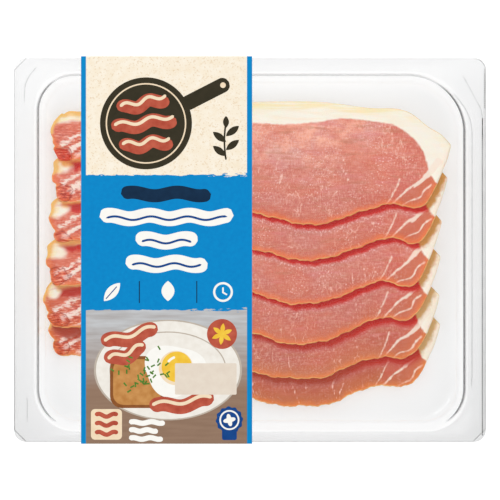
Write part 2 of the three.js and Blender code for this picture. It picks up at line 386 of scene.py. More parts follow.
RIPPLE_HEIGHT, RIPPLE_LENGTH, RIPPLE_SLANT = 0.35, 74.0, 0.35
COLUMNS, ROWS = 320, 96
PATH_STEPS = 8
TURN_EASE = 0.3  # how much of its slope a curve keeps where it turns back
RIM_ROUND, BLUNT_EXTRA = 0.6, 0.6  # how far in the rim is round, and how much farther if blunt
BLUNT_END = (186, 194)
EDGE_LIFT, LIFT_REACH = 0.7, 6.0  # the lean edge curls up a little
NOTCH_DEPTH, LUMP_DEPTH, LUMP_LENGTH, END_TRIM = 1.1, 0.45, 1.5, 1.4  # the tail's uneven end
CORNER_ROUND = 3.2
EDGE_WAVES = ((31, 0.4), (13, 0.3), (6.1, 0.22), (2.9, 0.14))  # lengths and heights
WANDER_WAVES = ((19, 0.8), (8.3, 0.32), (4.1, 0.13))
DIMPLE, STREAK_RIDGE, FLAP_RISE, GROOVE_DEPTH = 0.12, 0.3, 0.25, 0.15  # heights of the relief

# Curves on the pattern rasher: the line between fat cap and lean, and lines with their widths.
CAP_LINE = [(-3, 9), (3, 10.5), (8, 11.6), (14, 12.2), (50, 12), (80, 11.5), (100, 11.1),
            (116, 10.3), (128, 11.1), (136, 12), (143, 13.3), (154, 12.6), (163, 11.7),
            (171.5, 9.8), (178, 6), (183.4, 0.8), (186.5, -4.3), (188.2, -10.5), (189.2, -14.5),
            (190.8, -17), (193, -19.6), (197, -21.5), (203, -23)]
SEAMS = [
    ([(191, -12), (186.5, -17), (179, -22), (173, -27.4), (169, -31.5)], 1.1),
    ([(190, -20), (186.5, -22.6), (184, -26.6), (178, -28.6), (174.5, -31)], 0.55),
    ([(173.7, -16.6), (171.3, -22), (168.4, -27.4), (165, -32)], 0.4),
    ([(193, -8), (188.5, -13.5), (184.5, -17.5), (181, -20.5)], 3.0),
]
STREAKS = [
    ([(5, 0.5), (10, 3), (20, 6), (34, 7), (50, 5)], 1.5),
    ([(8, -3.5), (14, -0.5), (24, 2), (40, 2), (56, -1)], 2.2),
    ([(13, -7.5), (20, -4.5), (30, -3), (46, -6), (60, -9)], 1.4),
]
FAT_LUMP_PLACE = (4.2, 9.0)
FAT_LUMP_REACH = (4.6, 3.3)
FLAP_PLACE = (4.6, -4.2)
FLAP_REACH = (5.2, 3.9)
COMMON_VEINS = [  # run through every slice, since all come from one loin
    [(124.5, -10), (123, -17), (121.5, -24), (122.5, -30), (125.5, -38)],
    [(145.5, -7), (143.5, -14), (145, -21), (144, -27), (147, -38)],
]
VEIN_COUNT = 9
VEIN_START, VEIN_HEAD, VEIN_LENGTH = (100, 162), (-26, -2), (10, 24)
VEIN_POINTS, VEIN_WIGGLE = 6, 0.9
SHADOW_REACH = (-2.0, 2.0)  # towards the lamp, as far as an edge throws its shadow
FAR = 99.0  # a distance from a line that is nowhere near
LEVEL_GRAIN = 40.0  # how far apart two rashers lie in the pattern of their meat


def cubic(start, end, leaving, arriving, t):
    """A stretch from start to end, with the slopes that it leaves and arrives by."""
    return (start * (1 + 2 * t) * (1 - t) ** 2 + leaving * t * (1 - t) ** 2
            + end * t * t * (3 - 2 * t) + arriving * t * t * (t - 1))


def eased(stations, heights, where):
    """A curve through the stations, one cubic from each to the next, eased at its turns."""
    stations = np.asarray(stations, dtype=float)
    heights = np.asarray(heights, dtype=float)
    slopes = np.gradient(heights, stations)
    steps = np.diff(stations)
    rise = np.diff(heights) / steps
    slopes[1:-1] = np.where(rise[1:] * rise[:-1] <= 0, slopes[1:-1] * TURN_EASE, slopes[1:-1])
    place = np.clip(np.searchsorted(stations, where) - 1, 0, len(steps) - 1)
    return cubic(heights[place], heights[place + 1], slopes[place] * steps[place],
                 slopes[place + 1] * steps[place], (where - stations[place]) / steps[place])


def hump(along, centre, reach):
    """A bump of height 1 that dies away over its reach."""
    return np.exp(-((along - centre) / reach) ** 2)


def smooth_path(points):
    """A curve through a few points, one cubic from each to the next, by distance along."""
    points = np.asarray(points, dtype=float)
    travel = np.concatenate([[0], np.cumsum(np.hypot(*np.diff(points, axis=0).T))])
    where = np.linspace(0, travel[-1], PATH_STEPS * (len(points) - 1) + 1)
    slopes = np.gradient(points, travel, axis=0)
    place = np.clip(np.searchsorted(travel, where) - 1, 0, len(points) - 2)
    span = np.diff(travel)[place][:, None]
    return cubic(points[place], points[place + 1], slopes[place] * span,
                 slopes[place + 1] * span, (where - travel[place])[:, None] / span)


def distance_to(path, spots):
    """Distance from each spot to the nearest stretch of a path, and how far along that is."""
    start, span = path[:-1], np.diff(path, axis=0)
    length_squared = (span ** 2).sum(1)
    nearest = np.full(len(spots), np.inf)
    share_there = np.zeros(len(spots))
    for number, (origin, step, square) in enumerate(zip(start, span, length_squared)):
        t = np.clip(((spots - origin) @ step) / square, 0, 1)
        gap = np.hypot(*(spots - origin - t[:, None] * step).T)
        closer = gap < nearest
        nearest[closer] = gap[closer]
        share_there[closer] = (number + t[closer]) / len(start)
    return nearest, share_there


def under(path, spots):
    """True where a spot lies below a path that runs from left to right."""
    order = np.maximum.accumulate(path[:, 0])
    return spots[:, 1] < np.interp(spots[:, 0], order, path[:, 1])


def line_gap(lines, spots, shifts):
    """Distance from each spot to the nearest of several lines, less half its width there.

    A line starts a quarter wider than its width and tapers to a quarter of it.
    """
    nearest = np.full(len(spots), FAR)
    for (path, width), shift in zip(lines, shifts):
        gap, share = distance_to(smooth_path(path) + shift, spots)
        nearest = np.minimum(nearest, gap - width / 2 * (1.25 - share))
    return nearest


def outside_gap(outline, spots):
    """Distance from a closed outline, below zero inside it.

    A spot is inside when a ray from it to the right crosses the outline an odd number of times.
    """
    gap, _ = distance_to(np.vstack([outline, outline[:1]]), spots)
    inside = np.zeros(len(spots), dtype=bool)
    x, y = spots.T
    for (x0, y0), (x1, y1) in zip(outline, np.roll(outline, -1, axis=0)):
        if y0 != y1:
            crosses = (y0 > y) != (y1 > y)
            inside ^= crosses & (x < x0 + (y - y0) * (x1 - x0) / (y1 - y0))
    return np.where(inside, -gap, gap)


def to_table(pattern, rasher):
    """Places pattern points, in millimetres, on the table: stretch, turn, then move."""
    turn = np.radians(rasher["turn"])
    y = pattern[:, 1]
    notch = FLAP_PLACE[1] + FLAP_REACH[1] + rasher["tail"]
    lumps = LUMP_DEPTH * np.sin(y / LUMP_LENGTH + 3 * rasher["tail"])
    lumps = NOTCH_DEPTH * hump(y, notch, 1.0) + lumps - END_TRIM
    rounding = CORNER_ROUND * soft_step(11.5, 17, y)
    end_shift = (lumps + rounding) * (1 - soft_step(0, 9, pattern[:, 0]))
    x = (pattern[:, 0] - RASHER_LENGTH) * rasher["length"] / RASHER_LENGTH + end_shift
    return np.column_stack([x * np.cos(turn) - y * np.sin(turn) + rasher["place"][0],
                            x * np.sin(turn) + y * np.cos(turn) + rasher["place"][1]])


def stack_height(level, spots):
    """Underside of a rasher: its level, less one layer for each pitch beyond the knee."""
    x, y = spots.T
    along = (y - STACK_SKEW * x - KNEE_Y) / STACK_PITCH
    gone = (along + np.hypot(along, KNEE_SOFTNESS)) / 2
    ripple = RIPPLE_HEIGHT * (1 + np.sin(2 * np.pi * (x + RIPPLE_SLANT * y) / RIPPLE_LENGTH))
    return BASE_TOP + STACK_FLOAT + LAYER_RISE * (level - gone) + ripple


def soft_step(low, high, value):
    """0 below low, 1 above high, and a smooth rise between them."""
    t = np.clip((value - low) / (high - low), 0, 1)
    return t * t * (3 - 2 * t)


def wander(points, draw, strength):
    """Moves points a little by a few slanting sine waves, so that lines drawn by them wander."""
    moved = points.copy()
    for wave_length, size in WANDER_WAVES:
        for axis in (0, 1):
            turn = draw.uniform(0, 2 * np.pi)
            along = points @ (np.cos(turn), np.sin(turn))
            moved[:, axis] += strength * size * np.sin(2 * np.pi * along / wave_length + turn)
    return moved


def rasher_outline(rasher, draw):
    """Both long edges of a rasher in its pattern, with the small unevenness of a real slice."""
    share = (1 - np.cos(np.linspace(0, np.pi, COLUMNS))) / 2
    along = RASHER_LENGTH * share
    fade = np.sin(np.pi * share) ** 0.25
    fade[[0, -1]] = 0
    deeper = sum(rasher[name] * hump(along, *spot)
                 for name, spot in (("tail", TAIL), ("belly", BELLY), ("lobe", LOBE)))
    uneven = np.zeros(COLUMNS)
    for wave_length, size in EDGE_WAVES:
        uneven += size * np.sin(2 * np.pi * along / wave_length + draw.uniform(0, 2 * np.pi))
    low = eased(LEAN_STATIONS, LEAN_HEIGHTS, along) - deeper * fade + uneven * fade
    high = eased(RIND_STATIONS, RIND_HEIGHTS, along)
    return along, low, high


def gaps_beyond(above, spots):
    """How far spots lie outside the rasher above, and outside the shade that its edge throws."""
    if above is None:
        return np.full(len(spots), FAR), np.full(len(spots), FAR)
    rasher, (along, low, high) = above
    lower, upper = np.column_stack([along, low]), np.column_stack([along, high])[::-1]
    edge = to_table(np.concatenate([lower[::2], upper[::4]]), rasher)
    return outside_gap(edge, spots), outside_gap(edge, spots + SHADOW_REACH)


def relief_of(pattern, loose, exposed, rasher, draw):
    """Low waves, ridges along the streaks, and a raised flap with a groove round it."""
    relief = DIMPLE * np.sin(pattern[:, 0] / 5.3 + 0.6 * np.sin(pattern[:, 1] / 4))
    streak = line_gap(STREAKS, loose, draw.normal(0, 0.9, (len(STREAKS), 2)))
    relief += STREAK_RIDGE * soft_step(1.2, -0.4, streak)
    flap_size = FLAP_REACH * draw.uniform(0.75, 1.1, 2)
    flap = np.hypot(*((loose - FLAP_PLACE - (0, rasher["tail"])) / flap_size).T)
    relief += FLAP_RISE * soft_step(1.0, 0.7, flap) - GROOVE_DEPTH * hump(flap, 1.05, 0.14)
    return relief * exposed, streak, flap


def vein_gap(level, loose, draw):
    """Distance from the nearest vein: the common ones, and a few more in each slice."""
    nearest = np.full(len(loose), FAR)
    for path in COMMON_VEINS:
        gap, share = distance_to(smooth_path(path), loose)
        nearest = np.minimum(nearest, gap + 0.5 * np.abs(share - 0.6) + 0.12 * level - 0.05)
    for _ in range(VEIN_COUNT):
        start, length, head = (draw.uniform(*span)
                               for span in (VEIN_START, VEIN_LENGTH, VEIN_HEAD))
        wiggle = np.cumsum(draw.normal(0, VEIN_WIGGLE, VEIN_POINTS))
        path = np.column_stack([start + wiggle, head - np.linspace(0, length, VEIN_POINTS)])
        gap, share = distance_to(smooth_path(path), loose)
        nearest = np.minimum(nearest, gap + 0.5 * share)
    return nearest


def rasher_mesh(level, rasher, above, draw):
    """A slice on a grid of distance along it and share of the way from lean edge to rind.

    Its rim is round, half the thickness high at the edge, except at the rind's blunt end,
    where the side slopes out over a few millimetres. Returns points, faces and attributes.
    """
    along, low, high = rasher_outline(rasher, draw)
    across = (1 - np.cos(np.linspace(0, np.pi, ROWS))) / 2
    pattern = np.stack([np.repeat(along[:, None], ROWS, axis=1),
                        low[:, None] + (high - low)[:, None] * across], axis=-1).reshape(-1, 2)
    spots = to_table(pattern, rasher)
    rind_gap, _ = distance_to(np.column_stack([along, high])[::2], pattern)
    lean_gap, _ = distance_to(np.column_stack([along, low])[::2], pattern)
    inner = np.zeros((COLUMNS, ROWS), dtype=bool)
    inner[1:-1, 1:-1] = True
    inner = inner.ravel()
    edge_gap = np.where(inner, np.minimum(rind_gap, lean_gap), 0)
    rim = RIM_ROUND + BLUNT_EXTRA * soft_step(*BLUNT_END, pattern[:, 0])
    swell = np.sqrt(1 - (1 - np.clip(edge_gap / rim, 0, 1)) ** 2)
    open_gap, lit_gap = gaps_beyond(above, spots)
    loose, gentle = wander(pattern, draw, 1.0), wander(pattern, draw, 0.45)
    relief, streak, flap = relief_of(pattern, loose, soft_step(0.5, 5, open_gap), rasher, draw)
    lift = np.clip(1 - lean_gap / LIFT_REACH, 0, 1) ** 2 * soft_step(4, 14, pattern[:, 0])
    base = stack_height(level, spots) + EDGE_LIFT * lift
    top = base + RASHER_THICKNESS * (0.5 + 0.5 * swell) + relief * swell
    bottom = base + RASHER_THICKNESS * 0.5 * (1 - swell)
    points = np.concatenate([np.column_stack([spots, top]),
                             np.column_stack([spots, bottom])[inner]])
    upper = np.arange(COLUMNS * ROWS).reshape(COLUMNS, ROWS)
    lower = upper.copy()
    lower[1:-1, 1:-1] = upper.size + np.arange(inner.sum()).reshape(COLUMNS - 2, ROWS - 2)
    faces = np.concatenate([
        np.stack([upper[:-1, :-1], upper[1:, :-1], upper[1:, 1:], upper[:-1, 1:]], -1),
        np.stack([lower[:-1, :-1], lower[:-1, 1:], lower[1:, 1:], lower[1:, :-1]], -1),
    ]).reshape(-1, 4)

    cap_path = smooth_path(CAP_LINE)
    cap_gap, _ = distance_to(cap_path, pattern)
    lean_depth = np.where(under(cap_path, pattern), cap_gap, -cap_gap)
    lump = np.hypot(*((loose - FAT_LUMP_PLACE) / FAT_LUMP_REACH).T) - 1
    lean_depth = np.minimum(lean_depth, lump * 4 + 8 * (1 - rasher["fat"]))
    shifts = draw.normal(0, 0.5, (len(SEAMS), 2))
    beyond = []
    for number in (0, 2):
        path = smooth_path(SEAMS[number][0])[::-1] + shifts[number]
        gap, _ = distance_to(path, gentle)
        beyond.append(np.where(under(path, gentle), gap, -gap))
    attributes = {
        "grain": np.column_stack([pattern, np.full(len(pattern), LEVEL_GRAIN * level)]),
        "lean_depth": lean_depth,
        "seam": line_gap(SEAMS, gentle, shifts),
        "side_muscle": beyond[0],
        "wedge": np.minimum(beyond[1], -beyond[0]),
        "streak": streak,
        "vein": vein_gap(level, loose, draw),
        "flap": flap,
        "rind_gap": rind_gap,
        "lean_gap": lean_gap,
        "lit_gap": lit_gap,
    }
    return points, faces, {label: np.concatenate([numbers, numbers[inner]])
                           for label, numbers in attributes.items()}


def times(first, *others):
    """The product of sockets and numbers."""
    for other in others:
        first = calc("MULTIPLY", first, other)
    return first


def plus(first, second):
    """The sum of two sockets or numbers."""
    return calc("ADD", first, second)


def minus(first, second):
    """The difference of two sockets or numbers."""
    return calc("SUBTRACT", first, second)


def ramp(value, low, high, start=0.0, end=1.0, curve="SMOOTHSTEP"):
    """Goes from start to end while the value goes from low to high, by default smoothly."""
    return beside("MapRange", {"Value": value, "From Min": low, "From Max": high,
                               "To Min": start, "To Max": end}, interpolation_type=curve).outputs[0]


def layered(colour, *layers):
    """A colour with others laid over it in turn, each by its share."""
    for share, top in layers:
        below, above = (tinted(*tone) if isinstance(tone, tuple) else tone
                        for tone in (colour, top))
        colour = blend(share, below, above)
    return colour


def noise(place, scale, stretch=(1, 1, 1), detail=3.0, roughness=0.55, turn=0.0):
    """A cloudy pattern, stretched and turned, that runs from 0 to 1 round a middle of a half."""
    placed = beside("Mapping", {"Vector": place, "Scale": stretch, "Rotation": (0.0, 0.0, turn)})
    return beside("TexNoise", {"Vector": placed.outputs[0], "Scale": scale, "Detail": detail,
                               "Roughness": roughness}).outputs["Fac"]


def bacon_material():
    """Cured pork by distance: lean with fibres and veins, cream fat, tan rind, painted glints and
    sheen, painted shadow in the creases, and a painted glow on the rim.
    """
    material, tree = blank_material("bacon")
    grain = field(tree, "grain", "Vector")
    along, across, level = wire(tree, "SeparateXYZ", {"Vector": grain}).outputs
    depth, seam, side, wedge, streak, vein, flap, rind_gap, lean_gap, lit_gap = (
        field(tree, label) for label in ("lean_depth", "seam", "side_muscle", "wedge", "streak",
                                         "vein", "flap", "rind_gap", "lean_gap", "lit_gap"))

    def grained(*settings):
        return noise(grain, *settings)

    def wobble(size, *settings):
        return times(minus(grained(*settings), 0.5), size)

    # Lean meat: salmon rose and mottled, deeper away from the cap, with veins, and with pale specks
    # that are painted glints, a painted highlight of the lamp on wet meat.
    lower_down = ramp(level, 130, 0)  # 1 on the lowest rasher, 0 on the upper ones
    lowest = ramp(level, 60, 0)
    mottle = grained(0.09, (1, 1.4, 1), 4)
    hue = grained(0.055, (1, 1, 1), 3, 0.5, 1.1)
    fibre = times(plus(grained(0.8, (1.6, 0.5, 1), 4, 0.65),
                       grained(0.6, (0.45, 1.9, 1), 4, 0.65, 0.2)), 0.5)
    warm = grained(0.045, (0.7, 1.4, 1), 3, 0.5, 0.5)
    band = grained(0.2, (0.28, 1.7, 1), 4, 0.6, 0.1)
    tan = layered((208, 106, 76), (lower_down, (212, 134, 82)))
    near_rim = ramp(plus(lean_gap, times(band, 6.0)), 13, 4)
    # 1 just below the painted shadow of the rasher above, where painted sheen and glints gather.
    painted_sheen_zone = ramp(lit_gap, 4.0, 0.6)
    # Painted glints: pale specks of painted highlight, thickest just below the painted shadow of
    # the rasher above; the same noise also gives the bump.
    glint_and_bump_noise = grained(1.25, (1.2, 0.85, 1), 2, 0.5, 0.2)
    painted_glint_share = times(ramp(plus(glint_and_bump_noise, times(painted_sheen_zone, 0.07)), 0.58, 0.70),
                        calc("MAXIMUM", ramp(grained(0.07), 0.44, 0.60, 0.08, 1.0), painted_sheen_zone),
                        calc("MULTIPLY_ADD", lower_down, -0.4, 0.75))
    sinew = ramp(calc("ABSOLUTE", minus(grained(0.1, (1.3, 0.6, 1)), 0.5)), 0.010, 0.002)
    sinew_place = ramp(grained(0.05, (1, 1, 1), 2, 0.5, 2.0), 0.48, 0.6, 0.0, 0.6)
    edge_wave = wobble(1.8, 0.35, (1, 1, 1), 4)
    near_end = ramp(along, 163, 170)
    lean = layered(
        (250, 184, 160),
        (ramp(mottle, 0.36, 0.66), (226, 140, 124)),
        (ramp(hue, 0.50, 0.64, 0.0, 0.6), (230, 176, 170)),
        (ramp(depth, 5, 34, 0.0, 0.74), (206, 114, 100)),
        (ramp(along, 146, 180, 0.0, 0.75), (216, 104, 84)),
        (times(lower_down, 0.6), (186, 92, 74)),
        (ramp(fibre, 0.48, 0.62, 0.0, 0.45), (246, 206, 192)),
        (ramp(fibre, 0.49, 0.38, 0.0, 0.38), (200, 88, 74)),
        (ramp(warm, 0.48, 0.62, 0.0, 0.4), (224, 124, 96)),
        (ramp(band, 0.53, 0.66, 0.0, 0.5), (204, 128, 100)),
        (ramp(band, 0.47, 0.34, 0.0, 0.45), (226, 140, 138)),
        (times(near_rim, calc("MULTIPLY_ADD", lower_down, 0.3, 0.45)), tan),
        (times(lowest, 0.42), (190, 84, 40)),
        # Painted sheen: a grey-pink band just below the painted shadow of the rasher above.
        (times(painted_sheen_zone, 0.35), (214, 150, 146)),
        (painted_glint_share, (255, 230, 222)),
        (times(sinew, sinew_place), (248, 206, 188)),
        (ramp(plus(vein, wobble(1.5, 0.6)), 0.5, 0.0, 0.0, 0.85), (252, 220, 206)),
        (times(ramp(along, 176, 187), ramp(lean_gap, 12, 4), 0.4), (238, 128, 84)),
        (times(ramp(plus(side, edge_wave), 0.0, 1.2), near_end, 0.55), (208, 112, 80)),
        (times(ramp(plus(wedge, edge_wave), 0.0, 1.4), near_end,
               ramp(across, -16, -23, 0.0, 0.5)), (214, 98, 80)),
    )

    # The streaky tail: redder lean, and broken white streaks that rise along it.
    tail = ramp(along, 56, 22)
    marble = grained(0.55, (0.5, 1.9, 1), 6, 0.7, -0.6)
    streaky = times(tail, ramp(depth, 3, 8, 0.3, 0.75))
    waved_streak = plus(streak, wobble(7.0, 0.55, (0.6, 1.8, 1), 4, 0.7, -0.6))
    lean = layered(
        lean,
        (times(tail, 0.65), (226, 102, 70)),
        (times(ramp(marble, 0.50, 0.40), streaky), (182, 46, 34)),
        (times(ramp(marble, 0.55, 0.62), streaky), (255, 226, 210)),
        (ramp(waved_streak, 0.5, -0.7, 0.0, 0.95), (253, 232, 220)),
    )

    # Fat: cream, in bands that follow the rind, with a yellow line along it.
    fat_noise = grained(0.22, (0.25, 2.0, 1), 4)
    before_lobe = ramp(along, 186, 166, 0.3, 1.0)
    waved_rind = minus(rind_gap, times(grained(0.06, (0.7, 1.5, 1)), 5.0))
    rim_streak = ramp(grained(0.3, (0.12, 2.6, 1), 4), 0.40, 0.60, 0.25, 0.9)
    fat = layered(
        (255, 249, 234),
        (times(ramp(fat_noise, 0.38, 0.66), before_lobe), (255, 241, 220)),
        (times(ramp(waved_rind, 2.4, 0.2), rim_streak, before_lobe), (254, 236, 188)),
        (times(ramp(rind_gap, 0.6, 0.1), ramp(along, 166, 178, 0.35, 0.75)), (240, 192, 112)),
        (times(ramp(waved_rind, 0.6, -1.4), ramp(along, 24, 12), 0.9), (244, 190, 96)),
    )
    waved_depth = plus(depth, edge_wave)
    sharp_lean = times(ramp(waved_depth, -0.5, 0.7), ramp(rind_gap, 0.5, 1.3))
    soft_lean = times(ramp(waved_depth, -1.6, 1.4), ramp(rind_gap, 0.5, 2.2))
    near_tail = ramp(along, 18, 10)
    is_lean = plus(times(sharp_lean, minus(1.0, near_tail)), times(soft_lean, near_tail))
    is_seam = ramp(plus(seam, wobble(1.3, 0.5, (1, 1, 1), 4)), 0.5, -0.3, 0.0, 0.9)

    # Painted shadow: beside the rasher above, where the shade of its edge falls, lean is painted
    # deep red and fat amber.
    tail_shadow_widening = times(ramp(along, 4, 8), ramp(along, 40, 20), 2.2)
    crease_gap = plus(minus(lit_gap, tail_shadow_widening), times(edge_wave, plus(0.4, tail_shadow_widening)))
    crease = ramp(crease_gap, calc("MULTIPLY_ADD", lower_down, 2.0, 1.6), -0.5)
    amber = layered((198, 138, 46), (ramp(along, 100, 60), (240, 178, 92)),
                    (times(lower_down, 0.6), (206, 180, 126)))
    amber_gap = plus(lit_gap, times(edge_wave, 2.0))
    fat = layered(fat, (ramp(amber_gap, 2.0, -0.8, 0.0, 0.95), amber))
    painted_shadow_red = layered(
        (214, 22, 16),
        (ramp(crease_gap, 0.4, -2.0), (192, 4, 6)),
        (times(lower_down, ramp(along, 165, 135, 0.15, 0.75)), (180, 50, 36)),
        (times(lowest, ramp(along, 170, 140, 0.3, 0.8)), (172, 66, 36)),
    )
    lean = layered(lean, (times(crease, 0.95), painted_shadow_red))

    # The cut's lower rim is orange, partly its own dried colour and partly a painted glow of light
    # through the thin meat; its thinnest line is painted lighter still, to make up for the rim
    # facing away from the lamp. The tail's flap is a red lump of meat near its lower corner, with
    # painted highlights, ringed by a groove whose darkness is painted shade.
    dry_and_glow = ramp(minus(lean_gap, times(grained(0.12), 3.4)), 2.0, -1.6)
    painted_rim_glow = times(ramp(lean_gap, 0.8, 0.2), ramp(fat_noise, 0.35, 0.65, 0.35, 1.0))
    dry_and_glow_colour = layered((244, 130, 66), (lower_down, (234, 136, 64)))
    on_lean = calc("MULTIPLY_ADD", is_lean, 0.85, 0.15)
    waved_flap = plus(flap, wobble(0.9, 0.3))
    in_flap = ramp(waved_flap, 1.0, 0.8)
    redness = ramp(level, 150, 190, 0.35, 0.85)
    shaded_groove_gap = calc("ABSOLUTE", minus(waved_flap, 1.05))
    meat = layered(
        fat,
        (is_lean, lean),
        (times(is_seam, minus(1.0, crease)), (254, 236, 220)),
        (times(dry_and_glow, 0.7, on_lean), dry_and_glow_colour),
        (times(painted_rim_glow, on_lean), (255, 202, 128)),
        (times(ramp(waved_flap, 1.12, 0.8), redness), (214, 46, 6)),
        (times(ramp(marble, 0.48, 0.42, 0.0, 0.6), in_flap), (150, 24, 10)),
        # Painted highlights on the glossy flap.
        (times(ramp(marble, 0.54, 0.60, 0.0, 0.7), in_flap), (252, 190, 150)),
        # Painted shade in the groove round the flap.
        (ramp(shaded_groove_gap, 0.10, 0.0, 0.0, 0.7), (160, 24, 6)),
    )

    height = plus(times(fibre, 0.6), times(glint_and_bump_noise, 0.5))
    bump = wire(tree, "Bump", {"Strength": 0.5, "Distance": 0.0005, "Height": height})
    finish_material(tree, wire(tree, "BsdfPrincipled", {
        "Base Color": meat, "Roughness": ramp(mottle, 0.3, 0.7, 0.32, 0.5),
        "Normal": bump.outputs[0], "Specular IOR Level": 0.2,
        "Subsurface Weight": 0.35, "Subsurface Radius": (1.0, 0.25, 0.18),
        "Subsurface Scale": 0.0025, "Coat Weight": 0.04, "Coat Roughness": 0.2}))
    return material


bacon = bacon_material()
outlines = [rasher_outline(rasher, np.random.default_rng(level + 11))
            for level, rasher in enumerate(RASHERS)]
stack = [*zip(RASHERS, outlines), None]
for level, rasher in enumerate(RASHERS):
    draw = np.random.default_rng(level + 11)
    points, faces, attributes = rasher_mesh(level, rasher, stack[level + 1], draw)
    piece = build(f"rasher_{level + 1}_slice", points, faces, bacon, attributes)
    piece.visible_shadow = False
    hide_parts(f"rasher_{level + 1}")
    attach(piece, "root")

# The film. A thin clear sheet welded to the flange all round. Three of its corners are cut off
# straight, the fourth is round, and a peel tab with a fine knurl runs down its right side.

FILM_LOW, FILM_HIGH = (np.array(corner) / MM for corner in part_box("lidding_film"))
FILM_CORNERS = (6.5, 6.0, 6.0, 6.0)
WELD_HEIGHT = 0.06
RIGHT_WELD = [(102, 78), (106, 73), (109, 68), (110.7, 62), (111, 54), (111, 50),
              (111, -60), (111, -64), (110.6, -68)]
LEFT_WELD = [(-107, 91), (-110, 87.5), (-112.2, 83), (-112.8, 78), (-112.8, 74)]
LEFT_STEP = [(-111.4, -74), (-111.4, -86)]
PEEL_CURVE = [(106.5, 87), (112, 77), (115.6, 69.5), (116.2, 66), (116.2, 62), (116.2, 58)]
PEEL_X, PEEL_TOP, PEEL_FOOT = 116.2, 58.0, -93.0
KNURL_X, KNURL_TOP, KNURL_FOOT = 117.4, 90.5, 71.0  # where the knurl is dark, at the head
KNURL_LEFT, KNURL_RIGHT = 116.8, 117.9
KNURL_PITCH = 0.95
LINE_WIDTH, PEEL_WIDTH, KNURL_WIDTH = 0.5, 0.72, 0.45 * KNURL_PITCH
LINE_LIFT = 0.01  # keeps a line clear of the sheet below it
FILM_BEVEL = 0.05
# The film's edge from its underside to its top: how far in, how high, and how dark its painted
# shade is.
FILM_EDGE = ((0.3, FILM_LOW[2], 0.0), (0.0, FILM_LOW[2] + FILM_BEVEL, 1.0),
             (0.0, FILM_HIGH[2] - FILM_BEVEL, 1.0), (0.3, FILM_HIGH[2], 0.6),
             (0.7, FILM_HIGH[2], 0.0))

film_material = clear_plastic("film_plastic", (0.99, 0.99, 0.99, 1), (0.3, 0.3, 0.3, 1),
                              0.2, 0.05)
film_rings, film_shades = [], []
for inset, height, shade in FILM_EDGE:
    ring = rounded_ring(FLANGE, FILM_CORNERS, inset, straight_cuts=(0, 2, 3))
    facing_x, facing_y = ring_normals(ring).T
    towards_foot = (FLANGE["top"] - ring[:, 1]) / (FLANGE["top"] - FLANGE["bottom"])
    # Painted shade on the cut edge: the left and foot darker than the right, most in the corners.
    strength = ((0.3 + 0.45 * towards_foot) * np.clip(-facing_x, 0, 1)
                + 0.25 * np.clip(-facing_y, 0, 1) + 0.8 * np.abs(facing_x * facing_y)
                + 0.3 * np.clip(facing_x, 0, 1))
    film_rings.append(at_height(ring, height))
    film_shades.append(shade * strength)
film_points, film_faces = loft(film_rings)
film = build("film_sheet", film_points, film_faces, film_material,
             {"shade": np.concatenate([*film_shades, [0, 0]])})
film.visible_shadow = False
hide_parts("lidding_film")
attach(film, "root")


def strip(path, width):
    """The two edges of a strip: its middle line moved half the width to either side."""
    path = np.asarray(path, dtype=float)
    along = np.gradient(path, axis=0)
    along /= np.maximum(np.linalg.norm(along, axis=1, keepdims=True), 1e-9)
    aside = np.stack([-along[:, 1], along[:, 0]], axis=1) * np.reshape(width, (-1, 1)) / 2
    return path + aside, path - aside


def plates(name, shapes, low, high, material):
    """Thin flat plates between two heights, one for each pair of edges, joined in one mesh.

    A shape is a left and a right edge of equal length. Quads join them above and below, and
    a wall runs all round.
    """
    points, faces = [], []
    for left, right in shapes:
        size = len(left)
        loop = np.concatenate([left, right[::-1]])
        index = np.arange(size - 1)
        mirror = 2 * size - 1 - index
        around = np.arange(2 * size)
        after = np.roll(around, -1)
        upper = np.stack([index + 1, index, mirror, mirror - 1], -1) + 2 * size
        lower = np.stack([index, index + 1, mirror - 1, mirror], -1)
        wall = np.stack([after, around, around + 2 * size, after + 2 * size], -1)
        faces.append(np.concatenate([upper, lower, wall]) + sum(map(len, points)))
        points += [at_height(loop, low), at_height(loop, high)]
    piece = build(name, np.concatenate(points), np.concatenate(faces), material, smooth=False)
    piece.visible_shadow = False
    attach(piece, "root")
    return piece


def faint_line(name, clearness):
    """Clear plastic that is only a little darker, for a weld or a fold in the film."""
    material, tree = blank_material(name)
    cloud = noise(wire(tree, "TexCoord", {}).outputs["Object"], 220.0, detail=2.0, roughness=0.5)
    grey = ramp(cloud, 0.35, 0.65, clearness, 0.5 + 0.5 * clearness, "LINEAR")
    colour = wire(tree, "CombineColor", {"Red": grey, "Green": grey, "Blue": grey})
    finish_material(tree, wire(tree, "BsdfTransparent", {"Color": colour.outputs[0]}))
    return material


def dashes(x, head, foot, share, width):
    """Short upright strips one below the other, each a share of the knurl's pitch long."""
    return [strip([(x, row), (x, row - share * KNURL_PITCH)], width)
            for row in np.arange(head, foot, -KNURL_PITCH)]


welds = [strip(smooth_path(path), LINE_WIDTH)
         for path in (RIGHT_WELD, LEFT_WELD, LEFT_STEP, PEEL_CURVE[:4])]
peels = [strip(smooth_path(PEEL_CURVE[3:]), LINE_WIDTH),
         *dashes(PEEL_X, PEEL_TOP, PEEL_FOOT, 0.6, PEEL_WIDTH),
         *dashes(KNURL_X, KNURL_TOP, KNURL_FOOT, 0.5, LINE_WIDTH)]
knurl = [strip([(KNURL_LEFT, row), (KNURL_RIGHT, row)], KNURL_WIDTH)
         for row in np.arange(FLANGE["bottom"] + 4, FLANGE["top"] - 8, KNURL_PITCH)]
for name, shapes, material in (("film_welds", welds, faint_line("weld_line", 0.94)),
                               ("film_peel_line", peels, faint_line("peel_line", 0.15)),
                               ("film_knurl", knurl, faint_line("knurl_ridge", 0.89))):
    plates(name, shapes, FILM_HIGH[2] + LINE_LIFT, FILM_HIGH[2] + WELD_HEIGHT, material)

